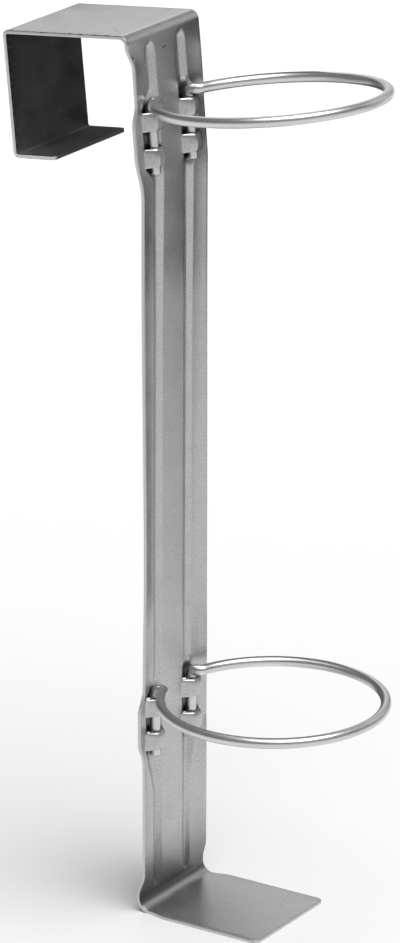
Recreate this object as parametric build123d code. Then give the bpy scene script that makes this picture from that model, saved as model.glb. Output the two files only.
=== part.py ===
from build123d import *
import math
import os

# Gas cylinder bracket: one folded steel strip and two bent wire hoops.
# Built with the strip's flat front face at y = 0 and the foot's underside at z = 0,
# then moved so that the lower hoop's axis meets the top of the foot at the origin.

# ---- driving sizes, millimetres and degrees ----
sheet_t = 1.9            # thickness of the strip
strip_w = 67.0           # width of the flat strip at foot and hook
heel_w = 62.8            # width in the foot bend
run_w = 60.4             # width where the beads have drawn the edges in
waist_w = 59.0           # width at the waist of the long run
neck_w = 62.2            # width between the upper seat and the hook
lower_seat_w = 64.8      # width at the lower hoop's seat
upper_seat_w = 65.4      # width at the upper hoop's seat
foot_depth = 75.6        # front face of the strip to the foot's front edge
foot_flare = 17.0        # how far in front of the strip the foot has its full width
foot_bend_in = 6.0       # inner radius of the foot bend
corner_r = 3.2           # rounded free corners of foot and lip
waist_z = 190.0          # height of the waist
kink_z = 407.0           # height where the top part starts to lean back
lean = 5.1               # how far the top part leans back
head_len = 76.2          # kink to the outer face of the hook's top
hook_depth = 77.4        # outer depth of the hook's top
hook_droop = 0.6         # extra slope of the hook's top beyond square
hook_leg = 67.7          # outer length of the hook's back leg
lip_len = 25.9           # outer length of the hook's lip
front_bend_out = 5.0     # outer radius of the bend above the strip
rear_bend_out = 3.1      # outer radius of the two rear bends
bead_x = 17.6            # each bead's distance from the middle
bead_half = 7.0          # half the width of a bead in the run
bead_d = 3.3             # depth of a bead
foot_bead_end = 9.0      # length of a bead's rounded end above the foot
head_bead_end = 14.0     # the same below the hook
bend_flat = 1.0          # flat metal between a bend and a bead's end
foot_fwd = 2.8           # how far the edges turn forward below the waist
waist_fwd = 3.0          # the same, at the waist
run_fwd = 1.8            # the same, in the upper run and the neck
lower_seat_fwd = 1.2     # the same, at the lower seat
upper_seat_fwd = 0.3     # the same, at the upper seat
edge_fade = 12.0         # length over which the edges change beside a seat
dip_d = 5.6              # depth of a bead where the wire goes in behind the straps
dip_len = 12.0           # length over which a bead dips down to the wire's way in
dip_out = 8.0            # length over which it comes up again below the straps
wire_d = 5.6             # wire of both hoops
hoop_d = 119.0           # hoop diameter on the wire's centre line
leg_fwd = 0.5            # wire's legs, centre in front of the strip's face
elbow_r = 3.6            # bend radius of the wire's elbows
lower_hoop_z = 124.0     # lower hoop's plane above the foot's underside
lower_rise = 0.4         # how far the lower hoop tips up beyond square
upper_hoop_up = 38.5     # upper hoop's plane above the kink, along the strip
upper_rise = 1.3         # how far the upper hoop tips up beyond square
upper_roll = -1.6        # how far the upper hoop's right side is bent up
strap_h = 10.0           # height of each strap
window_h = 9.0           # height of the window between two straps
strap_half = 9.0         # half the width of a strap
strap_root = 0.5         # metal shared by a strap and the strip at each root
root_flat = 0.25         # flat metal between a seat's bead and a strap's root
strap_gap_y = 0.2        # air between the wire and a strap
elbow_gap = 0.9          # air between an elbow and the strap below it
tip_len = 4.0            # wire left showing below the lower strap

# ---- derived sizes ----
wire_r = wire_d / 2
seat_half = strap_half - root_flat
strap_fwd = leg_fwd + wire_r + strap_gap_y + sheet_t
strap_top = elbow_r + elbow_gap
pair_h = 2 * strap_h + window_h
leg_end = strap_top + pair_h + tip_len
run_z0 = sheet_t + foot_bend_in + bend_flat
head_z1 = kink_z + head_len - front_bend_out - bend_flat
lower_top = lower_hoop_z - strap_top
upper_top = kink_z + upper_hoop_up - strap_top
hoop_r = hoop_d / 2
hoop_sin = (bead_x + elbow_r) / (hoop_r + elbow_r)
hoop_cos = math.sqrt(1 - hoop_sin * hoop_sin)
hoop_ahead = (hoop_r + elbow_r) * hoop_cos
hoop_axis_y = hoop_ahead + elbow_r + leg_fwd

# ---- shape along the strip; places are heights, counted on along the leaning part ----
# place, half width, how far the edges turn forward
EDGES = (
    (run_z0, heel_w / 2, 0.0),
    (run_z0 + edge_fade, run_w / 2, foot_fwd),
    (lower_top - pair_h - edge_fade / 2, run_w / 2, foot_fwd),
    (lower_top - pair_h + edge_fade / 2, lower_seat_w / 2, lower_seat_fwd),
    (lower_top - edge_fade / 2, lower_seat_w / 2, lower_seat_fwd),
    (lower_top + edge_fade / 2, run_w / 2, foot_fwd),
    (waist_z, waist_w / 2, waist_fwd),
    (kink_z - 3 * edge_fade, run_w / 2, run_fwd),
    (kink_z - edge_fade, run_w / 2, run_fwd),
    (kink_z + edge_fade, upper_seat_w / 2, upper_seat_fwd),
    (upper_top - edge_fade / 2, upper_seat_w / 2, upper_seat_fwd),
    (upper_top + edge_fade / 2, neck_w / 2, run_fwd),
    (head_z1 - edge_fade, neck_w / 2, run_fwd),
    (head_z1, strip_w / 2, 0.0),
)
# place, bead depth, bead half width
BEADS = (
    (run_z0 + foot_bead_end, bead_d, bead_half),
    (lower_top - pair_h - dip_out, bead_d, bead_half),
    (lower_top - pair_h, dip_d, seat_half),
    (lower_top, dip_d, seat_half),
    (lower_top + dip_len, bead_d, bead_half),
    (upper_top - pair_h - dip_out, bead_d, bead_half),
    (upper_top - pair_h, dip_d, seat_half),
    (upper_top, dip_d, seat_half),
    (upper_top + dip_len, bead_d, bead_half),
    (head_z1 - head_bead_end, bead_d, bead_half),
)
BEAD_STEPS = 5
END_START = 0.06
END_SHARES = (0.22, 0.5, 0.78)
FADE_SHARES = (0.3, 0.7)
EDGE_BEND = ((0.35, 0.22), (0.7, 0.62), (1.0, 1.0))
WIRE_SIDES = 12
MIN_STEP = 1.5           # sections of the strip closer together than this are left out
NEAR = 0.01              # tolerance for finding an edge
MARGIN = 1.0             # how far a cutting shape stands clear of the metal


def ease(s):
    # 0 to 1 with a soft start and end
    s = min(1.0, max(0.0, s))
    return s * s * (3 - 2 * s)


def values_at(stations, place):
    # the stations' values at a place, eased from one station to the next
    if place <= stations[0][0]:
        return stations[0][1:]
    for (low, *first), (high, *last) in zip(stations, stations[1:]):
        if place <= high:
            s = ease((place - low) / (high - low))
            return [a + (b - a) * s for a, b in zip(first, last)]
    return stations[-1][1:]


def bead_at(place):
    # depth and half width of the beads, with a rounded end above the foot and below the hook
    depth, half = values_at(BEADS, place)
    share = min((place - run_z0) / foot_bead_end, (head_z1 - place) / head_bead_end, 1.0)
    share = max(share, END_START)
    return depth * ease(share), half * math.sqrt(1 - (1 - share) ** 2)


def on_strip(place, x, y):
    # a section point at a place along the strip: upright below the kink, leaning back above it
    a = math.radians(lean)
    if place < kink_z:
        return Vector(x, y, place)
    if place == kink_z:
        return Vector(x, y, kink_z - y * math.tan(a / 2))
    h = place - kink_z
    return Vector(
        x,
        y * math.cos(a) + h * math.sin(a),
        kink_z - y * math.sin(a) + h * math.cos(a),
    )


def outline(place):
    # closed outline of the strip's section: cosine beads, edges turned forward
    half_w, fwd = values_at(EDGES, place)
    depth, half = bead_at(place)
    if place in (run_z0, head_z1):
        depth = 0.0
    side = []
    for k in range(-BEAD_STEPS, BEAD_STEPS + 1):
        s = k / BEAD_STEPS
        side.append((bead_x + half * s, depth * (1 + math.cos(math.pi * s)) / 2))
    inner = bead_x + half
    for s, f in EDGE_BEND:
        side.append((inner + (half_w - inner) * s, -fwd * f))
    front = [(-x, y) for x, y in reversed(side)] + side
    back = [(x, y + sheet_t) for x, y in reversed(front)]
    return Wire.make_polygon([on_strip(place, x, y) for x, y in front + back], close=True)


def long_run():
    # the upright run and the leaning part, up to the hook's front bend
    places = {run_z0, head_z1, kink_z}
    places.update(run_z0 + foot_bead_end * s for s in END_SHARES)
    places.update(head_z1 - head_bead_end * s for s in END_SHARES)
    for stations in (EDGES, BEADS):
        for (low, *first), (high, *last) in zip(stations, stations[1:]):
            places.update((low, high))
            if first != last and high - low < 3 * edge_fade:
                places.update(low + (high - low) * s for s in FADE_SHARES)
    kept = [run_z0]
    for place in sorted(places):
        if place - kept[-1] > MIN_STEP:
            kept.append(place)
        elif place in (kink_z, head_z1):
            kept[-1] = place
    return Solid.make_loft([outline(place) for place in kept], ruled=True)


def folded(outer, bend_out):
    # a plate folded along corners (y, z) of its outer face, metal on the right hand
    n = len(outer)
    dirs = []
    for i in range(n - 1):
        dy = outer[i + 1][0] - outer[i][0]
        dz = outer[i + 1][1] - outer[i][1]
        size = math.hypot(dy, dz)
        dirs.append((dy / size, dz / size))
    inner = []
    for i in range(n):
        a = dirs[max(0, i - 1)]
        b = dirs[min(n - 2, i)]
        scale = sheet_t / (1 + a[0] * b[0] + a[1] * b[1])
        inner.append((outer[i][0] + (a[1] + b[1]) * scale, outer[i][1] - (a[0] + b[0]) * scale))
    face = make_face(Polyline(*(outer + inner[::-1]), close=True))
    for i in range(1, n - 1):
        for spot, radius in ((outer[i], bend_out[i - 1]), (inner[i], bend_out[i - 1] - sheet_t)):
            near = face.vertices().sort_by_distance((spot[0], spot[1], 0))[0]
            face = fillet(near, radius)
    return extrude(Plane.YZ * face, strip_w / 2, both=True)


def round_corners(plate, tip):
    # round the two free corners of the plate's end at tip (y, z)
    corners = []
    for edge in plate.edges():
        middle = edge.center()
        at_tip = math.hypot(middle.Y - tip[0], middle.Z - tip[1]) < sheet_t
        if at_tip and abs(abs(middle.X) - strip_w / 2) < NEAR:
            corners.append(edge)
    return fillet([e for e in corners if abs(e.length - sheet_t) < NEAR], corner_r)


def head(shape):
    # carry a shape built upright at the kink into the leaning part
    return Pos(0, 0, kink_z) * Rot(-lean, 0, 0) * shape


def foot():
    # foot plate and its bend, a little narrower at the heel
    tip = (-foot_depth, 0.0)
    plate = folded([(sheet_t, run_z0), (sheet_t, 0.0), tip], [foot_bend_in + sheet_t])
    plate = round_corners(plate, tip)
    side = [
        (heel_w / 2, sheet_t + MARGIN),
        (heel_w / 2, -foot_bend_in),
        (strip_w / 2, -foot_flare),
        (strip_w / 2, -foot_depth),
    ]
    plan = make_face(Polyline(*(side + [(-x, y) for x, y in reversed(side)]), close=True))
    return plate & extrude(plan, run_z0)


def hook():
    # top, back leg and lip, square to each other, upright at the kink
    droop = math.radians(hook_droop)
    rear = (hook_depth * math.cos(droop), head_len - hook_depth * math.sin(droop))
    low = (rear[0] - hook_leg * math.sin(droop), rear[1] - hook_leg * math.cos(droop))
    tip = (low[0] - lip_len * math.cos(droop), low[1] + lip_len * math.sin(droop))
    corners = [(0.0, head_z1 - kink_z), (0.0, head_len), rear, low, tip]
    plate = folded(corners, [front_bend_out, rear_bend_out, rear_bend_out])
    return round_corners(plate, tip)


def strap(side, low):
    # arch pressed forward over the wire's leg
    steps = 6
    front = []
    for k in range(-steps, steps + 1):
        s = k / steps
        front.append((side * bead_x + strap_half * s, -strap_fwd * (1 + math.cos(math.pi * s)) / 2))
    front = [(front[0][0] - strap_root, 0.0)] + front + [(front[-1][0] + strap_root, 0.0)]
    back = [(x, y + sheet_t) for x, y in reversed(front)]
    face = make_face(Polyline(*(front + back), close=True))
    return Pos(0, 0, low) * extrude(face, strap_h)


def strap_gap(side, low):
    # room cut through the bead where a strap has been pressed forward
    reach = dip_d + sheet_t + strap_fwd
    block = Box(2 * strap_half, reach, strap_h)
    return Pos(side * bead_x, dip_d + sheet_t + MARGIN - reach / 2, low + strap_h / 2) * block


def bracket_strip():
    gaps = []
    straps = []
    for side in (-1, 1):
        for drop in (strap_h, pair_h):
            low = lower_top - drop
            high = upper_top - kink_z - drop
            gaps += [strap_gap(side, low), head(strap_gap(side, high))]
            straps += [strap(side, low), head(strap(side, high))]
    strip = long_run().cut(*[g.solid() for g in gaps])
    strip = strip.fuse(foot().solid(), head(hook()).solid(), *[s.solid() for s in straps])
    return strip.clean()


def wire_hoop(rise, roll):
    # two legs, two elbows and the hoop between them, with its plane at height 0
    r = math.radians(rise)
    tilt = math.tan(math.radians(roll))
    forward = Vector(0, -math.cos(r), math.sin(r))
    normal = Vector(0, math.sin(r), math.cos(r))
    start = Vector(0, elbow_r * math.sin(r) - elbow_r - leg_fwd, elbow_r * math.cos(r) - elbow_r)

    def in_plane(x, ahead):
        return start + Vector(x, 0, 0) + normal * (x * tilt) + forward * ahead

    def half(side):
        x = side * bead_x
        lift = normal * (x * tilt)
        mid_a = (math.pi / 2 - r) / 2
        turn = math.asin(hoop_cos) / 2
        low = Vector(x, lift.Y - leg_fwd, -leg_end)
        top = Vector(x, -leg_fwd, -elbow_r) + lift
        bend = top + Vector(0, elbow_r * math.cos(mid_a) - elbow_r, elbow_r * math.sin(mid_a))
        out = in_plane(x, 0.0)
        swing = in_plane(x + side * elbow_r * (1 - math.cos(turn)), elbow_r * math.sin(turn))
        join = in_plane(side * hoop_r * hoop_sin, hoop_ahead - hoop_r * hoop_cos)
        edges = [
            Edge.make_line(low, top),
            Edge.make_three_point_arc(top, bend, out),
            Edge.make_three_point_arc(out, swing, join),
        ]
        return edges, join, low

    left, left_join, left_low = half(-1)
    right, right_join, _ = half(1)
    loop = Edge.make_three_point_arc(left_join, in_plane(0.0, hoop_ahead + hoop_r), right_join)
    path = Wire(left + [loop] + right)
    section = Plane(origin=left_low, z_dir=(0, 0, 1)) * RegularPolygon(wire_r, WIRE_SIDES)
    return sweep(section, path=path)


home = Pos(0, hoop_axis_y, -sheet_t)
pieces = {
    "bracket_strip": bracket_strip(),
    "lower_ring": Pos(0, 0, lower_hoop_z) * wire_hoop(lower_rise, 0.0),
    "upper_ring": head(Pos(0, 0, upper_hoop_up) * wire_hoop(upper_rise, upper_roll)),
}
os.makedirs("parts", exist_ok=True)
for name, shape in pieces.items():
    export_step(home * shape, f"parts/{name}.step")
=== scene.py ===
import math

import bmesh
import bpy
from mathutils import Matrix, Vector


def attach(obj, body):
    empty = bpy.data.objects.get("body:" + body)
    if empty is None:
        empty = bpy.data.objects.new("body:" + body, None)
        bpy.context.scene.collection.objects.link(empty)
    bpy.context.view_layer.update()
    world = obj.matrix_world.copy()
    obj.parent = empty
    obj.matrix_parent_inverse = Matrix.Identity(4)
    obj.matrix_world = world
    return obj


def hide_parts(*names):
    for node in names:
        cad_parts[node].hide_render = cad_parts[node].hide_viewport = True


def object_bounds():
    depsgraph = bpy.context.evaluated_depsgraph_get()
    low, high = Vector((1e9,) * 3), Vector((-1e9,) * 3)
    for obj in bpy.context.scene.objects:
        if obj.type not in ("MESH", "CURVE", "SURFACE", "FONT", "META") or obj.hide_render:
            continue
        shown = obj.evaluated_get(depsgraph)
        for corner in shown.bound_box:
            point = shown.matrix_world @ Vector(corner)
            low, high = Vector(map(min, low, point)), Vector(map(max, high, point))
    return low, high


# Looks of the gas cylinder bracket: a folded, beaded steel strip and two bent wire hoops.
# The shapes are worked out in the strip's own frame, in millimetres: front face at y = 0,
# foot's underside at z = 0. HOME and MM carry them into the row's frame, in metres.

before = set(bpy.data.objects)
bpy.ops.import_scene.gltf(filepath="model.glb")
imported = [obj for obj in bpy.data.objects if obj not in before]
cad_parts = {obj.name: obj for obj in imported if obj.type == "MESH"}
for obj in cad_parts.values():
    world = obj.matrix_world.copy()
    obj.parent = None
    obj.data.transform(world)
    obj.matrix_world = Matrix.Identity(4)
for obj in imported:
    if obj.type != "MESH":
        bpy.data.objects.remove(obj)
cad_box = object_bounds()

MM = 0.001

# ---- strip ----
SHEET_T = 1.9            # thickness
STRIP_W = 67.0           # full width, at foot and hook
HEEL_W = 62.8            # width in the foot bend
RUN_W = 60.4             # width where the beads have drawn the edges in
WAIST_W = 59.0
NECK_W = 62.2            # width between the upper seat and the hook
LOWER_SEAT_W = 64.8
UPPER_SEAT_W = 65.4
FOOT_DEPTH = 75.6
FOOT_FLARE = 17.0        # how far in front of the strip the foot has its full width
FOOT_BEND = 6.0          # radius of the front face in the foot bend
CORNER_R = 3.2
WAIST_Z = 190.0
KINK_Z = 407.0
KINK_R = 25.0
LEAN = math.radians(5.1)
HEAD_LEN = 76.2
HOOK_DEPTH = 77.4
HOOK_DROOP = math.radians(0.6)
HOOK_LEG = 67.7
LIP_LEN = 25.9
FRONT_BEND = 5.0
REAR_BEND = 3.1
BEND_FLAT = 1.0          # straight sheet left between a bend and the shaped part of the strip
FOOT_FWD = 2.8           # how far the edges turn forward below the waist
WAIST_FWD = 3.0
RUN_FWD = 1.8
LOWER_SEAT_FWD = 1.2
UPPER_SEAT_FWD = 0.3
EDGE_FADE = 12.0         # length over which width and forward turn change
EDGE_CURL = 0.55         # share of the forward turn that grows with the square of the distance
EDGE_ROLL = 0.45         # rounding of the long cut edges

# ---- beads ----
BEAD_X = 17.6            # at the seats, where the wire's legs lie in them
BEAD_D = 3.3
RUN_BEAD_X = 14.2        # between the seats, closer in than the wire
RUN_BEAD_HALF = 4.8
RUN_DEPTH = 1.5
TOP_BEAD_HALF = 5.6
TOP_DEPTH = 2.0
UPPER_FADE = 90.0        # how far below the kink the beads have narrowed to their run size
LOWER_FADE = 30.0        # the same, below the lower seat
FOOT_BEAD_END = 9.0      # length of a bead's rounded end
HEAD_BEAD_END = 9.0
END_START = 0.06         # share of a bead's end at which its rounding begins
END_HALF = 0.2           # share of its half width that a bead keeps at its very end
END_STEEP = 2.2          # how fast a bead gets deep from its end
DIP_D = 5.6              # depth of a bead where the wire goes in
DIP_LEN = 12.0
DIP_OUT = 8.0

# ---- hoops and straps ----
WIRE_R = 2.8
HOOP_R = 59.5
LEG_FWD = 0.5            # wire's legs, centre in front of the strip's face
ELBOW_R = 3.6
LOWER_HOOP_Z = 124.0
LOWER_RISE = math.radians(0.4)
UPPER_HOOP_UP = 38.5
UPPER_RISE = math.radians(1.3)
UPPER_ROLL = math.radians(-1.6)
STRAP_H = 10.0
WINDOW_H = 9.0
STRAP_HALF = 8.8
STRAP_SHOULDER = 0.75    # share of a strap's half width that its sloping side takes
STRAP_BULGE = 0.8        # how far a strap's face stands out half way up, beyond its top and bottom
STRAP_ROLL = 1.5         # rounding of a strap's top edge
LANCE_ROLL = 1.0         # rounding of the other lanced edges' front corner
STRAP_GAP = 0.2          # air between the wire and a strap
ELBOW_GAP = 0.9          # air between an elbow and the strap below it
TIP_LEN = 4.0            # wire that stands out below the lower strap
TIP_ROLL = 0.35          # rounding of the wire's cut ends
TONGUE = 3.0             # how far a bead's metal reaches down behind the wire, below a strap's top
TONGUE_FADE = 9.0        # height above a strap's top over which the metal is drawn down

# ---- painted shade ----
SHADE_REACH = 7.0        # how far painted shade reaches from a lanced edge into a bead
CORNER_SHADE = 0.62      # painted shade in the inner corner of the foot bend
CORNER_REACH = 42.0      # height up to which it fades out
CORNER_FADE = 1.6        # how fast it fades
CORNER_START = 0.3       # share of the foot bend that stays without painted shade

# ---- mesh ----
CENTRE_COLUMNS = 8
BEAD_COLUMNS = 36
EDGE_GAPS = (0.0, 0.07, 0.2, 0.45)
EDGE_SHARES = (0.14, 0.28, 0.42, 0.56, 0.7, 0.85)
BENT_STEP = 0.5          # distance between rows in a bend
STRAP_STEP = 1.0
PLAIN_STEP = 2.2
CUT_GAPS = (0.06, 0.2, 0.45, 0.8)    # extra rows beside a lanced edge
TIP_GAPS = (0.06, 0.2, 0.45)         # and beside the strip's two ends
CORNER_ROWS = 8
END_ROWS = 12
MIN_STEP = 0.03
MERGE = 1e-7             # metres
WIRE_SIDES = 32
LEG_STEPS = 24
ELBOW_STEPS = 16
HOOP_STEPS = 180
CAP_STEPS = 3
STRIP_CREASE = 32        # degrees
WIRE_CREASE = 50
CUT_SLOT = 1             # place of the sheared edge in a piece's list of materials

LEG_Y = -LEG_FWD
STRAP_FWD = LEG_FWD + WIRE_R + STRAP_GAP + SHEET_T
STRAP_TOP = ELBOW_R + ELBOW_GAP
PAIR_H = 2 * STRAP_H + WINDOW_H
RUN_Z0 = SHEET_T + FOOT_BEND + BEND_FLAT
HEAD_Z1 = KINK_Z + HEAD_LEN - FRONT_BEND - BEND_FLAT
LOWER_TOP = LOWER_HOOP_Z - STRAP_TOP
UPPER_TOP = KINK_Z + UPPER_HOOP_UP - STRAP_TOP
HOOP_SIN = (BEAD_X + ELBOW_R) / (HOOP_R + ELBOW_R)
HOOP_COS = math.sqrt(1 - HOOP_SIN ** 2)
HOOP_AHEAD = (HOOP_R + ELBOW_R) * HOOP_COS
HOME = Vector((0.0, HOOP_AHEAD + ELBOW_R + LEG_FWD, -SHEET_T))


def to_row(point):
    """From the strip's frame in millimetres to the row's frame in metres."""
    return (point + HOME) * MM


def ease(s):
    """Smooth step from 0 to 1."""
    s = min(1.0, max(0.0, s))
    return s * s * (3 - 2 * s)


# ---------------------------------------------------------------- strip path

def heading(theta):
    """Direction along the strip; theta is 0 on the foot and a right angle on the run."""
    return Vector((0.0, math.cos(theta), math.sin(theta)))


def backward(theta):
    """Direction from the front face into the sheet."""
    return Vector((0.0, math.sin(theta), -math.cos(theta)))


class StripPath:
    """The strip's front face seen from the side: straights joined by arcs, from foot to lip."""

    def __init__(self, start, theta):
        self.pieces = []
        self.point = start
        self.theta = theta
        self.length = 0.0

    def straight(self, size):
        self.pieces.append((self.length, size, self.point.copy(), self.theta, 0.0))
        self.point = self.point + heading(self.theta) * size
        self.length += size
        return self.length

    def bend(self, turn, radius):
        size = abs(turn) * radius
        self.pieces.append((self.length, size, self.point.copy(), self.theta, turn / size))
        self.point = self.point + self.arc(self.theta, turn / size, size)
        self.theta += turn
        self.length += size
        return self.length

    @staticmethod
    def arc(theta, rate, size):
        end = theta + rate * size
        y = (math.sin(end) - math.sin(theta)) / rate
        z = (math.cos(theta) - math.cos(end)) / rate
        return Vector((0.0, y, z))

    def at(self, along):
        """Point and heading at a distance along the path."""
        for begin, size, point, theta, rate in self.pieces:
            if along <= begin + size + 1e-9:
                break
        step = along - begin
        if rate:
            return point + self.arc(theta, rate, step), theta + rate * step
        return point + heading(theta) * step, theta


def strip_path():
    """The path, and marks that turn a height into a distance along it."""
    kink_cut = KINK_R * math.tan(LEAN / 2)
    front_turn = math.pi / 2 + HOOK_DROOP
    front_cut = FRONT_BEND * math.tan(front_turn / 2)
    path = StripPath(Vector((0.0, -FOOT_DEPTH, SHEET_T)), 0.0)
    marks = {}
    path.straight(FOOT_DEPTH - FOOT_BEND)
    marks["run"] = path.bend(math.pi / 2, FOOT_BEND) - SHEET_T - FOOT_BEND
    path.straight(KINK_Z - SHEET_T - FOOT_BEND - kink_cut)
    marks["head"] = path.bend(-LEAN, KINK_R) - kink_cut
    path.straight(HEAD_LEN - kink_cut - front_cut)
    path.bend(-front_turn, FRONT_BEND)
    path.straight(HOOK_DEPTH - front_cut - REAR_BEND)
    path.bend(-math.pi / 2, REAR_BEND)
    path.straight(HOOK_LEG - 2 * REAR_BEND)
    path.bend(-math.pi / 2, REAR_BEND)
    path.straight(LIP_LEN - REAR_BEND)
    return path, marks


PATH, MARKS = strip_path()

# ---- shape along the strip; places are heights, counted on along the leaning part ----
# place, half width, how far the edges turn forward
EDGES = (
    (RUN_Z0, HEEL_W / 2, 0.0),
    (RUN_Z0 + EDGE_FADE, RUN_W / 2, FOOT_FWD),
    (LOWER_TOP - PAIR_H - EDGE_FADE / 2, RUN_W / 2, FOOT_FWD),
    (LOWER_TOP - PAIR_H + EDGE_FADE / 2, LOWER_SEAT_W / 2, LOWER_SEAT_FWD),
    (LOWER_TOP - EDGE_FADE / 2, LOWER_SEAT_W / 2, LOWER_SEAT_FWD),
    (LOWER_TOP + EDGE_FADE / 2, RUN_W / 2, FOOT_FWD),
    (WAIST_Z, WAIST_W / 2, WAIST_FWD),
    (KINK_Z - 3 * EDGE_FADE, RUN_W / 2, RUN_FWD),
    (KINK_Z - EDGE_FADE, RUN_W / 2, RUN_FWD),
    (KINK_Z + EDGE_FADE, UPPER_SEAT_W / 2, UPPER_SEAT_FWD),
    (UPPER_TOP - EDGE_FADE / 2, UPPER_SEAT_W / 2, UPPER_SEAT_FWD),
    (UPPER_TOP + EDGE_FADE / 2, NECK_W / 2, RUN_FWD),
    (HEAD_Z1 - EDGE_FADE, NECK_W / 2, RUN_FWD),
    (HEAD_Z1, STRIP_W / 2, 0.0),
)
# place, bead depth, bead half width, distance of the bead from the strip's middle
RUN_BEAD = (RUN_DEPTH, RUN_BEAD_HALF, RUN_BEAD_X)
TOP_BEAD = (TOP_DEPTH, TOP_BEAD_HALF, RUN_BEAD_X)
SEAT_BEAD = (DIP_D, STRAP_HALF, BEAD_X)
BEADS = (
    (RUN_Z0 + FOOT_BEAD_END, *RUN_BEAD),
    (LOWER_TOP - PAIR_H - LOWER_FADE, *RUN_BEAD),
    (LOWER_TOP - PAIR_H, BEAD_D, STRAP_HALF, BEAD_X),
    (LOWER_TOP, *SEAT_BEAD),
    (LOWER_TOP + DIP_LEN, *RUN_BEAD),
    (KINK_Z - UPPER_FADE, *RUN_BEAD),
    (UPPER_TOP - PAIR_H - DIP_OUT, *TOP_BEAD),
    (UPPER_TOP - PAIR_H, BEAD_D, STRAP_HALF, BEAD_X),
    (UPPER_TOP, *SEAT_BEAD),
    (UPPER_TOP + DIP_LEN, *TOP_BEAD),
    (HEAD_Z1 - HEAD_BEAD_END, *TOP_BEAD),
)


def along_of(place):
    """Distance along the front face of a place on the run or the leaning part."""
    return place + (MARKS["run"] if place < KINK_Z else MARKS["head"] - KINK_Z)


def place_of(along):
    """The place at a distance along the front face."""
    return min(along - MARKS["run"], KINK_Z) + max(0.0, along - MARKS["head"])


def values_at(stations, place):
    """The stations' values at a place, eased from one station to the next."""
    if place <= stations[0][0]:
        return stations[0][1:]
    for (low, *first), (high, *last) in zip(stations, stations[1:]):
        if place <= high:
            s = ease((place - low) / (high - low))
            return [a + (b - a) * s for a, b in zip(first, last)]
    return stations[-1][1:]


def edge_at(along):
    """Half width and forward turn; the foot widens from its bend to its plate."""
    half, fwd = values_at(EDGES, place_of(along))
    plate = (FOOT_DEPTH - along - FOOT_BEND) / (FOOT_FLARE - FOOT_BEND)
    return half + (STRIP_W - HEEL_W) / 2 * ease(plate), fwd


def bead_at(along):
    """Depth, half width and middle of a bead, with rounded ends above the foot and below the hook."""
    place = place_of(along)
    depth, half, middle = values_at(BEADS, place)
    share = min((place - RUN_Z0) / FOOT_BEAD_END, (HEAD_Z1 - place) / HEAD_BEAD_END, 1.0)
    rounded = math.sqrt(1 - (1 - max(share, END_START)) ** 2)
    return depth * ease(END_STEEP * share), half * (END_HALF + (1 - END_HALF) * rounded), middle


def roll_back(gap, radius):
    """How far a rounded corner of that radius lies behind the face, at a distance gap from the cut."""
    if gap >= radius:
        return 0.0
    return radius - math.sqrt(radius * radius - (radius - gap) ** 2)


# ---------------------------------------------------------------- strip section

def edge_forward(share):
    """How the turned edge comes forward, from the bead's shoulder to the cut edge."""
    return share * share * EDGE_CURL + share * (1 - EDGE_CURL)


def section(along, strap):
    """Right half of one crosswise row, as (x, y, mark) with y towards the back.

    The mark is 0 on plain sheet, up to 1 at a bead's middle, and below 0 by the distance to the
    strip's cut edge. The strap is None, or the height on it, from -1 at its bottom to 1 at its top.
    """
    half_w, fwd = edge_at(along)
    depth, half, middle = bead_at(along)
    half_w -= roll_back(min(along, PATH.length - along), CORNER_R)
    inner = middle + half
    points = [((middle - half) * k / CENTRE_COLUMNS, 0.0, 0.0) for k in range(CENTRE_COLUMNS)]
    for k in range(BEAD_COLUMNS + 1):
        s = 2 * k / BEAD_COLUMNS - 1
        y = depth * (1 + math.cos(math.pi * s)) / 2
        if strap is not None:
            y = -STRAP_FWD * ease((1 - abs(s)) / STRAP_SHOULDER)
        points.append((middle + half * s, y, 1 - abs(s)))
    edge = [(inner + (half_w - EDGE_GAPS[-1] - inner) * share, 0.0) for share in EDGE_SHARES]
    edge += [(half_w - gap, -gap - 1e-6) for gap in reversed(EDGE_GAPS)]
    for x, mark in edge:
        points.append((x, -fwd * edge_forward((x - inner) / (half_w - inner)), mark))
    return points


def painted_corner_shade(along):
    """Painted shade in the foot bend: none on the foot, most in the corner, fading out up the strip."""
    bend = FOOT_DEPTH - FOOT_BEND
    rise = ease((along - bend - CORNER_START * FOOT_BEND) / FOOT_BEND)
    left = (CORNER_REACH - place_of(along)) / (CORNER_REACH - RUN_Z0)
    return CORNER_SHADE * rise * max(0.0, min(1.0, left)) ** CORNER_FADE


def edge_roll(mark, strap, lance_gap, tip):
    """How far the front lies back where it rounds over to a cut edge, an end or a lanced edge."""
    roll = roll_back(tip, EDGE_ROLL)
    if mark < 0:
        roll = max(roll, roll_back(-mark, EDGE_ROLL))
    if mark > 0:
        radius = STRAP_ROLL if strap is not None and strap > 0 else LANCE_ROLL
        roll = max(roll, roll_back(lance_gap, radius) * (1 - (1 - mark) ** 4))
    return roll


def bulge_of(mark, strap):
    """How far a strap's face stands out, most half way up."""
    if strap is None or mark <= 0:
        return 0.0
    return STRAP_BULGE * (0.5 - strap * strap) * ease(mark / STRAP_SHOULDER)


def mirrored(row):
    """The row's points with their painted shade, from the left edge to the right one."""
    right = [(Vector((x, p.y, p.z)), painted_shade) for x, p, painted_shade in row]
    left = [(Vector((-x, p.y, p.z)), painted_shade) for x, p, painted_shade in reversed(row[1:])]
    return left + right


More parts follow.
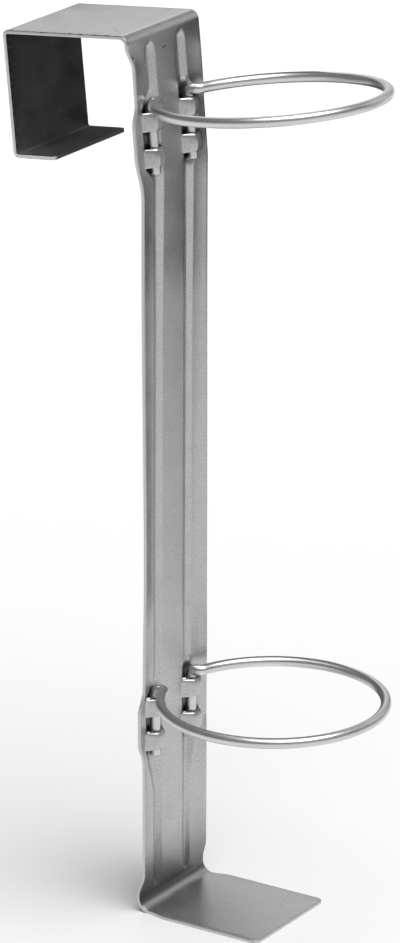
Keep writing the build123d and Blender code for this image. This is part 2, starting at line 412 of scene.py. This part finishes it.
def row_points(along, strap, lance_gap, hang):
    """Front and back points of a row with their painted shade, mirrored to both sides.

    Hang draws the bead's metal downwards, behind the wire.
    """
    tip = min(along, PATH.length - along)
    front_row = []
    back_row = []
    for x, y, mark in section(along, strap):
        bead = max(0.0, mark)
        point, theta = PATH.at(along - hang * TONGUE * ease(2 * bead))
        back = backward(theta)
        # Painted shade: a bead is painted darker near a strap's lanced edges, where the wire and the
        # strap shade it, and the foot bend's inner corner is painted darker too.
        painted_shade = ease(2 * bead) * max(0.0, 1 - lance_gap / SHADE_REACH)
        painted_shade = max(painted_shade, painted_corner_shade(along))
        ahead = y + edge_roll(mark, strap, lance_gap, tip) - bulge_of(mark, strap)
        front_row.append((x, point + back * ahead, painted_shade if strap is None else 0.0))
        # A strap's back is painted dark across its bead, as painted shade behind the wire.
        back_shade = painted_shade if strap is None else ease(3 * bead)
        back_row.append((x, point + back * (y + SHEET_T), back_shade))
    return mirrored(front_row), mirrored(back_row)


# ---------------------------------------------------------------- strip rows

def spread(low, high, step):
    """Even places from low to high, at most a step apart."""
    count = max(1, math.ceil((high - low) / step))
    return [low + (high - low) * i / count for i in range(count + 1)]


def lanced_edges():
    """Distances along the strip of all straps' bottoms and tops, from the foot up."""
    edges = []
    for hoop in (MARKS["run"] + LOWER_HOOP_Z, MARKS["head"] + UPPER_HOOP_UP):
        top = hoop - STRAP_TOP
        for drop in (PAIR_H, STRAP_H):
            edges += [top - drop, top - drop + STRAP_H]
    return edges


def fixed_rows():
    """Where a row always lies: ends of straights and bends, stations, and along the beads' ends."""
    fixed = [piece[0] for piece in PATH.pieces]
    fixed += [along_of(station[0]) for station in EDGES + BEADS]
    fixed.append(FOOT_DEPTH - FOOT_FLARE)
    bead_ends = ((along_of(RUN_Z0), FOOT_BEAD_END), (along_of(HEAD_Z1), -HEAD_BEAD_END))
    fixed += [base + size * k / END_ROWS for base, size in bead_ends for k in range(END_ROWS)]
    return fixed


def in_bend(low, high):
    for begin, size, _, _, rate in PATH.pieces:
        if rate and begin - 1e-6 <= low and high <= begin + size + 1e-6:
            return True
    return False


def extra_rows(a, b, lanced):
    """Rows close to a stretch's lanced edges, or to the strip's own ends and their corners."""
    places = [a + gap for gap in CUT_GAPS if a in lanced]
    places += [b - gap for gap in CUT_GAPS if b in lanced]
    tips = [CORNER_R * (1 - math.cos(math.pi / 2 * k / CORNER_ROWS)) for k in range(1, CORNER_ROWS + 1)]
    tips += TIP_GAPS
    if a == 0.0:
        places += tips
    if b == PATH.length:
        places += [b - gap for gap in tips]
    return places


def row_places(a, b, strap, lanced):
    """Where a stretch's rows lie, closer together in bends and on straps."""
    spots = sorted({a, b} | {f for f in fixed_rows() if a < f < b})
    places = set(extra_rows(a, b, lanced))
    for low, high in zip(spots, spots[1:]):
        step = BENT_STEP if in_bend(low, high) else STRAP_STEP if strap else PLAIN_STEP
        places.update(spread(low, high, step))
    places = sorted(places)
    kept = [places[0]]
    for place in places[1:]:
        if place - kept[-1] > MIN_STEP:
            kept.append(place)
    kept[-1] = b
    return kept


def strip_rows():
    """Stretches of the strip as lists of rows: along, strap, distance to a lanced edge, hang."""
    lanced = lanced_edges()
    borders = [0.0, *lanced, PATH.length]
    stretches = []
    for number, (a, b) in enumerate(zip(borders, borders[1:])):
        strap = number % 2 == 1
        stretch = []
        for along in row_places(a, b, strap, lanced):
            height = 2 * (along - a) / (b - a) - 1 if strap else None
            hang = max(0.0, 1 - (along - a) / TONGUE_FADE) if number and not strap else 0.0
            stretch.append((along, height, min(abs(along - edge) for edge in lanced), hang))
        stretches.append(stretch)
    return stretches


# ---------------------------------------------------------------- strip mesh

def add_rows(mesh, stretch):
    """A stretch's vertices, as rows of the front face and rows of the back face."""
    flat = mesh.verts.layers.float_vector["flat"]
    shade_layer = mesh.verts.layers.float["painted_shade"]
    faces = ([], [])
    for along, strap, gap, hang in stretch:
        for side, row in enumerate(row_points(along, strap, gap, hang)):
            verts = []
            for point, painted_shade in row:
                vert = mesh.verts.new(to_row(point))
                vert[flat] = (point.x, along, side)
                vert[shade_layer] = painted_shade
                verts.append(vert)
            faces[side].append(verts)
    return faces


def skin(mesh, fronts, backs):
    """Front, back and the two long cut edges of a stretch."""
    for r in range(len(fronts) - 1):
        for c in range(len(fronts[0]) - 1):
            low, high = fronts[r], fronts[r + 1]
            mesh.faces.new((low[c], low[c + 1], high[c + 1], high[c]))
            low, high = backs[r], backs[r + 1]
            mesh.faces.new((low[c], high[c], high[c + 1], low[c + 1]))
        for c, turn in ((0, 1), (-1, -1)):
            quad = (fronts[r][c], fronts[r + 1][c], backs[r + 1][c], backs[r][c])
            mesh.faces.new(quad[::turn]).material_index = CUT_SLOT


def close_end(mesh, front, back, twin, turn):
    """Cut face at a stretch's end, left out where the next stretch's row, the twin, joins on."""
    for c in range(len(front) - 1):
        if twin and all((front[k].co - twin[k].co).length < MERGE for k in (c, c + 1)):
            continue
        quad = (front[c], back[c], back[c + 1], front[c + 1])
        mesh.faces.new(quad[::turn]).material_index = CUT_SLOT


def build_strip():
    """The strip, with its flat coordinates and its painted shade as attributes."""
    mesh = bmesh.new()
    mesh.verts.layers.float_vector.new("flat")
    mesh.verts.layers.float.new("painted_shade")
    lanes = [add_rows(mesh, stretch) for stretch in strip_rows()]
    for fronts, backs in lanes:
        skin(mesh, fronts, backs)
    for number, (fronts, backs) in enumerate(lanes):
        below = lanes[number - 1][0][-1] if number > 0 else None
        above = lanes[number + 1][0][0] if number + 1 < len(lanes) else None
        close_end(mesh, fronts[0], backs[0], below, 1)
        close_end(mesh, fronts[-1], backs[-1], above, -1)
    bmesh.ops.remove_doubles(mesh, verts=mesh.verts[:], dist=MERGE)
    return mesh


def finish_mesh(mesh, name, sharp_degrees):
    """Smooth faces with creases where two faces meet at more than the given angle."""
    bmesh.ops.recalc_face_normals(mesh, faces=mesh.faces[:])
    limit = math.radians(sharp_degrees)
    for face in mesh.faces:
        face.smooth = True
    for edge in mesh.edges:
        edge.smooth = edge.is_manifold and edge.calc_face_angle(math.pi) < limit
    data = bpy.data.meshes.new(name)
    mesh.to_mesh(data)
    mesh.free()
    piece = bpy.data.objects.new(name, data)
    bpy.context.scene.collection.objects.link(piece)
    return piece


# ---------------------------------------------------------------- wire hoops

class HoopPlane:
    """The plane that a hoop lies in: it rises to the front and rolls to one side."""

    def __init__(self, rise, roll):
        self.rise = rise
        self.tilt = math.tan(roll)
        self.forward = Vector((0.0, -math.cos(rise), math.sin(rise)))
        self.normal = Vector((0.0, math.sin(rise), math.cos(rise)))
        y = LEG_Y - ELBOW_R + ELBOW_R * math.sin(rise)
        self.start = Vector((0.0, y, ELBOW_R * math.cos(rise) - ELBOW_R))

    def lift(self, x):
        return self.normal * (x * self.tilt)

    def at(self, x, ahead):
        return self.start + Vector((x, 0.0, 0.0)) + self.lift(x) + self.forward * ahead


def wire_leg(plane, side):
    """From the tip up behind the straps, over the elbow and round the turn to the hoop's start."""
    x = side * BEAD_X
    lift = plane.lift(x)
    low = Vector((x, LEG_Y, -STRAP_TOP - PAIR_H - TIP_LEN)) + Vector((0.0, lift.y, 0.0))
    top = Vector((x, LEG_Y, -ELBOW_R)) + lift
    points = [low.lerp(top, i / LEG_STEPS) for i in range(LEG_STEPS)]
    for i in range(ELBOW_STEPS):
        angle = (math.pi / 2 - plane.rise) * i / ELBOW_STEPS
        points.append(top + Vector((0.0, ELBOW_R * (math.cos(angle) - 1), ELBOW_R * math.sin(angle))))
    for i in range(ELBOW_STEPS):
        angle = math.asin(HOOP_COS) * i / ELBOW_STEPS
        out = side * ELBOW_R * (1 - math.cos(angle))
        points.append(plane.at(x + out, ELBOW_R * math.sin(angle)))
    return points


def hoop_route(rise, roll):
    """Points of the wire's centre line, from the left tip over the hoop to the right tip."""
    plane = HoopPlane(rise, roll)
    half = math.asin(HOOP_SIN)
    loop = []
    for i in range(HOOP_STEPS + 1):
        angle = math.pi + half + (2 * math.pi - 2 * half) * i / HOOP_STEPS
        loop.append(plane.at(HOOP_R * math.sin(angle), HOOP_AHEAD + HOOP_R * math.cos(angle)))
    return wire_leg(plane, -1) + loop + wire_leg(plane, 1)[::-1]


def in_head(point):
    """A point of the leaning head, from the head's own frame."""
    turned = Matrix.Rotation(-LEAN, 3, "X") @ point
    return turned + Vector((0.0, 0.0, KINK_Z))


def wire_rings(points):
    """A ring for each point of the centre line: point, tangent, side, along, radius."""
    tangents = []
    for i in range(len(points)):
        before = points[max(0, i - 1)]
        after = points[min(len(points) - 1, i + 1)]
        tangents.append((after - before).normalized())
    side = tangents[0].orthogonal().normalized()
    rings = []
    along = 0.0
    for i, (point, tangent) in enumerate(zip(points, tangents)):
        if i:
            along += (point - points[i - 1]).length
            side = (tangents[i - 1].rotation_difference(tangent) @ side).normalized()
        rings.append((point, tangent, side.copy(), along, WIRE_R))
    return rings


def cap_rings(ring, inward):
    """Rings that round a cut end, from the end face inwards; inward is 1 or -1 along the tangent."""
    point, tangent, side, along, _ = ring
    rings = [(point, tangent, side, along, WIRE_R - TIP_ROLL)]
    for k in range(1, CAP_STEPS + 1):
        angle = math.pi / 2 * k / CAP_STEPS
        shift = TIP_ROLL * (1 - math.cos(angle))
        radius = WIRE_R - TIP_ROLL + TIP_ROLL * math.sin(angle)
        rings.append((point + tangent * shift * inward, tangent, side, along, radius))
    return rings


def build_wire(route):
    """A round wire along the route, with its two cut ends slightly rounded."""
    mesh = bmesh.new()
    flat = mesh.verts.layers.float_vector.new("flat")
    rings = wire_rings(route)
    rings = cap_rings(rings[0], 1) + rings[1:-1] + cap_rings(rings[-1], -1)[::-1]
    rows = []
    for point, tangent, side, along, radius in rings:
        up = tangent.cross(side)
        row = []
        for k in range(WIRE_SIDES):
            angle = 2 * math.pi * k / WIRE_SIDES
            out = (side * math.cos(angle) + up * math.sin(angle)) * radius
            vert = mesh.verts.new(to_row(point + out))
            vert[flat] = (WIRE_R * math.cos(angle), along, WIRE_R * math.sin(angle))
            row.append(vert)
        rows.append(row)
    for low, high in zip(rows, rows[1:]):
        for k in range(WIRE_SIDES):
            n = (k + 1) % WIRE_SIDES
            mesh.faces.new((low[k], low[n], high[n], high[k]))
    for row in (rows[0], rows[-1]):
        mesh.faces.new(row).material_index = CUT_SLOT
    return mesh


# ---------------------------------------------------------------- materials

class Shader:
    """A small helper that adds nodes to one material and joins them."""

    def __init__(self, name):
        self.material = bpy.data.materials.new(name)
        self.material.use_nodes = True
        self.tree = self.material.node_tree
        self.bsdf = self.tree.nodes["Principled BSDF"]

    def add(self, kind, inputs=(), **settings):
        node = self.tree.nodes.new(kind)
        for key, value in settings.items():
            setattr(node, key, value)
        for key, value in dict(inputs).items():
            if isinstance(value, bpy.types.NodeSocket):
                self.tree.links.new(value, node.inputs[key])
            else:
                node.inputs[key].default_value = value
        return node

    def math(self, operation, a, b=0.0):
        return self.add("ShaderNodeMath", {0: a, 1: b}, operation=operation).outputs[0]

    def noise(self, vector, scale, detail=2.0, rough=0.5):
        inputs = {"Vector": vector, "Scale": scale, "Detail": detail, "Roughness": rough}
        return self.add("ShaderNodeTexNoise", inputs).outputs["Fac"]

    def stretch(self, vector, scale):
        return self.add("ShaderNodeMapping", {"Vector": vector, "Scale": scale}).outputs[0]

    def between(self, value, low, high, to_low, to_high):
        inputs = {"Value": value, "From Min": low, "From Max": high, "To Min": to_low, "To Max": to_high}
        return self.add("ShaderNodeMapRange", inputs).outputs[0]

    def bump(self, height, strength, distance):
        inputs = {"Height": height, "Strength": strength, "Distance": distance}
        return self.add("ShaderNodeBump", inputs)

    def grey(self, value):
        return self.add("ShaderNodeCombineColor", {0: value, 1: value, 2: value}).outputs[0]

    def set(self, name, value):
        if isinstance(value, bpy.types.NodeSocket):
            self.tree.links.new(value, self.bsdf.inputs[name])
        else:
            self.bsdf.inputs[name].default_value = value


def flat_coords(shader):
    """Millimetres on the flat sheet or round the wire, from the mesh's own attribute."""
    return shader.add("ShaderNodeAttribute", attribute_name="flat").outputs["Vector"]


STEEL_TONE = 0.5
STEEL_ROUGH = 0.35
WIRE_TONE = 0.66
SHADE_LEFT = 0.06        # share of the unshaded tone that is left under the darkest painted shade
MARK_CORE = 0.5          # a mark is full out to this share of its half sizes
MARK_RIM = 1.2           # and gone from this one
FRONT_ONLY = 0.5         # half size across the sheet, so that the back stays clean
# marks on the strip's front face: x, distance along the strip, half length, half width,
# turn in degrees, tone
WEAR = (
    (-0.5, 542.0, 2.2, 0.7, 12.0, 0.4),      # dash below the hook's bend
    (-31.0, 542.7, 1.0, 1.0, 0.0, 0.3),      # speck beside it, at the edge
    (-22.0, 566.2, 7.6, 0.7, 47.0, 0.82),    # faint scratch on the hook's top
    (28.0, 567.4, 3.0, 1.2, 0.0, 0.75),      # scuff at the top's far edge
)
FLECKS_ALONG = (553.0, 560.0)                # stretch over which the flecks on the hook set in
FLECKS_ACROSS = (-33.2, -29.0)               # from the near edge inwards, where they fade out


def mark_left(s, flat, x, along, length, width, turn, tone):
    """Share of the clean tone that one soft oval mark leaves."""
    inputs = {"Vector": flat, "Location": (x, along, 0.0), "Scale": (length, width, FRONT_ONLY),
              "Rotation": (0.0, 0.0, math.radians(turn))}
    near = s.add("ShaderNodeMapping", inputs, vector_type="TEXTURE").outputs[0]
    gap = s.add("ShaderNodeVectorMath", {0: near}, operation="LENGTH").outputs["Value"]
    return s.between(gap, MARK_CORE, MARK_RIM, tone, 1.0)


def worn(s, flat):
    """Share of the clean tone that single marks and the flecks along the hook's edge leave."""
    left = 1.0
    for mark in WEAR:
        left = s.math("MULTIPLY", left, mark_left(s, flat, *mark))
    place = s.add("ShaderNodeSeparateXYZ", {0: flat}).outputs
    rough = s.noise(s.stretch(flat, (0.7, 0.35, 1.0)), 1.0, 3.0, 0.7)
    near_edge = s.between(place[0], *FLECKS_ACROSS, 1.0, 0.0)
    flecks = s.math("MULTIPLY", near_edge, s.between(rough, 0.48, 0.6, 0.0, 0.75))
    flecks = s.math("MULTIPLY", flecks, s.between(place[1], *FLECKS_ALONG, 0.0, 1.0))
    return s.math("MULTIPLY", left, s.math("SUBTRACT", 1.0, flecks))


def strip_steel():
    """Satin, zinc-coloured sheet: fine mottled grain, faint rolling lines, slight waves, wear marks, and
    painted shade in the beads by the lanced edges and in the foot bend.
    """
    s = Shader("strip_steel")
    flat = flat_coords(s)
    mottle = s.noise(flat, 0.9, 4.0, 0.65)
    cloud = s.noise(flat, 0.07, 3.0, 0.55)
    grain = s.noise(flat, 3.2, 2.0, 0.6)
    rolled = s.noise(s.stretch(flat, (2.2, 0.05, 1.0)), 1.0, 3.0, 0.6)
    waves = s.noise(flat, 0.05, 2.0, 0.4)
    grainy = s.between(mottle, 0.25, 0.75, -0.13, 0.13)
    tone = s.math("ADD", grainy, s.between(cloud, 0.3, 0.7, -0.03, 0.03))
    tone = s.math("ADD", tone, s.between(rolled, 0.3, 0.7, -0.015, 0.015))
    # This attribute darkens the base colour with painted shade: beads beside the lanced edges, the foot
    # bend's inner corner and the straps' backs.
    painted_shade = s.add("ShaderNodeAttribute", attribute_name="painted_shade").outputs["Fac"]
    unshaded = s.between(painted_shade, 0.0, 0.8, 1.0, SHADE_LEFT)
    tone = s.math("MULTIPLY", s.math("ADD", tone, STEEL_TONE), unshaded)
    s.set("Base Color", s.grey(s.math("MULTIPLY", tone, worn(s, flat))))
    rough = s.between(mottle, 0.25, 0.75, -0.05, 0.05)
    rough = s.math("ADD", rough, s.between(cloud, 0.3, 0.7, -0.04, 0.04))
    s.set("Roughness", s.math("ADD", rough, STEEL_ROUGH))
    s.set("Metallic", 1.0)
    fine = s.bump(grain, 0.2, 0.0002)
    wide = s.bump(waves, 0.1, 0.002)
    s.tree.links.new(fine.outputs[0], wide.inputs["Normal"])
    s.set("Normal", wide.outputs[0])
    return s.material


def sheared_edge():
    """Bright sheared edge with the fine lines of the cut."""
    s = Shader("sheared_edge")
    lines = s.noise(s.stretch(flat_coords(s), (1.0, 1.0, 0.1)), 4.0, 3.0, 0.7)
    s.set("Base Color", s.grey(s.between(lines, 0.25, 0.75, 0.5, 0.72)))
    s.set("Roughness", s.between(lines, 0.25, 0.75, 0.3, 0.48))
    s.set("Metallic", 1.0)
    s.set("Normal", s.bump(lines, 0.3, 0.0002).outputs[0])
    return s.material


def ring_wire():
    """Bright drawn wire with fine lines along its length."""
    s = Shader("ring_wire")
    flat = flat_coords(s)
    drawn = s.noise(s.stretch(flat, (1.6, 0.03, 1.6)), 1.0, 3.0, 0.6)
    speck = s.noise(flat, 0.8, 3.0, 0.6)
    tone = s.math("ADD", s.between(drawn, 0.3, 0.7, -0.03, 0.03), s.between(speck, 0.3, 0.7, -0.03, 0.03))
    s.set("Base Color", s.grey(s.math("ADD", tone, WIRE_TONE)))
    s.set("Roughness", s.between(speck, 0.3, 0.7, 0.3, 0.38))
    s.set("Metallic", 1.0)
    s.set("Normal", s.bump(drawn, 0.04, 0.0001).outputs[0])
    return s.material


# ---------------------------------------------------------------- pieces

STEEL = strip_steel()
CUT = sheared_edge()
WIRE = ring_wire()


def dress(piece, node, materials):
    """Give a piece its materials, attach it to the root body and hide the CAD node that it stands for."""
    for material in materials:
        piece.data.materials.append(material)
    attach(piece, "root")
    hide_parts(node)


def add_hoop(name, node, route):
    dress(finish_mesh(build_wire(route), name, WIRE_CREASE), node, (WIRE, CUT))


dress(finish_mesh(build_strip(), "strip", STRIP_CREASE), "bracket_strip", (STEEL, CUT))
LOWER_UP = Vector((0.0, 0.0, LOWER_HOOP_Z))
UPPER_UP = Vector((0.0, 0.0, UPPER_HOOP_UP))
add_hoop("lower_hoop", "lower_ring", [p + LOWER_UP for p in hoop_route(LOWER_RISE, 0.0)])
add_hoop("upper_hoop", "upper_ring", [in_head(p + UPPER_UP) for p in hoop_route(UPPER_RISE, UPPER_ROLL)])


# ---------------------------------------------------------------- camera

CAMERA_AZIMUTH = math.radians(57.278)    # from behind the camera: 0 looks along +y, turning to +x
CAMERA_DOWN = math.radians(19.232)
CAMERA_ROLL = math.radians(0.246)
CAMERA_AWAY = 2.89269
CAMERA_AIM = Vector((-0.01253, 0.03853, 0.24721))
CAMERA_LENS = 211.74
CAMERA_REACH = 200.0
SENSOR = 36.0


def add_camera():
    look = Vector((math.sin(CAMERA_AZIMUTH) * math.cos(CAMERA_DOWN),
                   math.cos(CAMERA_AZIMUTH) * math.cos(CAMERA_DOWN),
                   -math.sin(CAMERA_DOWN)))
    right = look.cross(Vector((0.0, 0.0, 1.0))).normalized()
    up = right.cross(look)
    rolled_right = right * math.cos(CAMERA_ROLL) + up * math.sin(CAMERA_ROLL)
    rolled_up = up * math.cos(CAMERA_ROLL) - right * math.sin(CAMERA_ROLL)
    data = bpy.data.cameras.new("camera")
    data.lens = CAMERA_LENS
    data.sensor_width = SENSOR
    data.clip_end = CAMERA_REACH
    camera = bpy.data.objects.new("camera", data)
    axes = Matrix((rolled_right, rolled_up, -look)).transposed().to_4x4()
    camera.matrix_world = Matrix.Translation(CAMERA_AIM - look * CAMERA_AWAY) @ axes
    bpy.context.scene.collection.objects.link(camera)
    bpy.context.scene.camera = camera


# ---------------------------------------------------------------- light and floor

FLOOR_RADIUS = 60.0
FLOOR_TONE = 0.87
WORLD_STRENGTH = 0.2
SUN_FROM = (-0.1, -0.35, 1.0)
SUN_SPREAD = math.radians(50.0)
SUN_POWER = 2.7
# name, place, target, size, power
CARDS = (
    ("back_card", (2.0, 1.5, 1.2), (0.0, 0.05, 0.3), (2.6, 1.8), 7.4),
    ("back_lamp", (1.3, 1.1, 1.6), (0.0, 0.05, 0.3), (0.8, 0.8), 2.4),
    ("side_card", (2.2, -0.8, 1.4), (0.0, 0.0, 0.4), (1.8, 1.5), 4.6),
)
BLACK = 0.01
GREY = 0.2
PALE = 0.6
# name, place, turn in degrees, size, tone
FLAGS = (
    ("hook_flag", (0.07, 0.16, 0.40), (0.0, 90.0, 0.0), (0.16, 0.28), BLACK),
    ("run_flag", (0.10, 0.19, 0.22), (0.0, 90.0, 0.0), (0.20, 0.34), GREY),
    ("side_flag", (0.12, 0.28, 0.27), (0.0, 90.0, 0.0), (0.34, 0.36), BLACK),
    ("right_mat", (0.75, 0.74, 0.0), (0.0, 0.0, 0.0), (1.2, 1.2), BLACK),
    ("front_flag", (0.64, -0.49, 0.18), (0.0, 90.0, -38.0), (0.42, 0.34), PALE),
)


def plain_material(name, tone):
    s = Shader(name)
    s.set("Base Color", (tone, tone, tone, 1.0))
    s.set("Roughness", 1.0)
    s.set("Specular IOR Level", 0.0)
    return s.material


def add_floor():
    mesh = bmesh.new()
    bmesh.ops.create_circle(mesh, cap_ends=True, segments=96, radius=FLOOR_RADIUS)
    piece = finish_mesh(mesh, "floor", STRIP_CREASE)
    piece.location = (0.0, 0.0, cad_box[0][2])
    piece.data.materials.append(plain_material("floor_white", FLOOR_TONE))


def add_light(data, place, target):
    """Place a light and aim it; it is seen in reflections but not by the camera."""
    lamp = bpy.data.objects.new(data.name, data)
    lamp.visible_camera = False
    aim = Vector(target) - Vector(place)
    lamp.matrix_world = Matrix.Translation(place) @ aim.to_track_quat("-Z", "Y").to_matrix().to_4x4()
    bpy.context.scene.collection.objects.link(lamp)


def add_card(name, place, target, size, power):
    """A softbox beside the set."""
    data = bpy.data.lights.new(name, "AREA")
    data.shape = "RECTANGLE"
    data.size, data.size_y = size
    data.energy = power
    add_light(data, place, target)


def add_sun():
    """A wide, even light from above."""
    data = bpy.data.lights.new("overhead", "SUN")
    data.angle = SUN_SPREAD
    data.energy = SUN_POWER
    add_light(data, SUN_FROM, (0.0, 0.0, 0.0))


def add_flag(name, place, turn, size, tone):
    """A studio flag: it darkens only what the metal mirrors."""
    mesh = bmesh.new()
    bmesh.ops.create_grid(mesh, x_segments=1, y_segments=1, size=0.5)
    piece = finish_mesh(mesh, name, STRIP_CREASE)
    piece.data.materials.append(plain_material(name, tone))
    piece.location = place
    piece.rotation_euler = [math.radians(angle) for angle in turn]
    piece.scale = (*size, 1.0)
    piece.visible_camera = False
    piece.visible_shadow = False
    piece.visible_transmission = False
    piece.visible_diffuse = False


def add_world():
    world = bpy.data.worlds.new("studio")
    world.use_nodes = True
    back = world.node_tree.nodes["Background"]
    back.inputs["Color"].default_value = (1.0, 1.0, 1.0, 1.0)
    back.inputs["Strength"].default_value = WORLD_STRENGTH
    bpy.context.scene.world = world


add_camera()
add_floor()
add_world()
add_sun()
for card in CARDS:
    add_card(*card)
for flag in FLAGS:
    add_flag(*flag)
bpy.context.scene.view_settings.view_transform = "Standard"
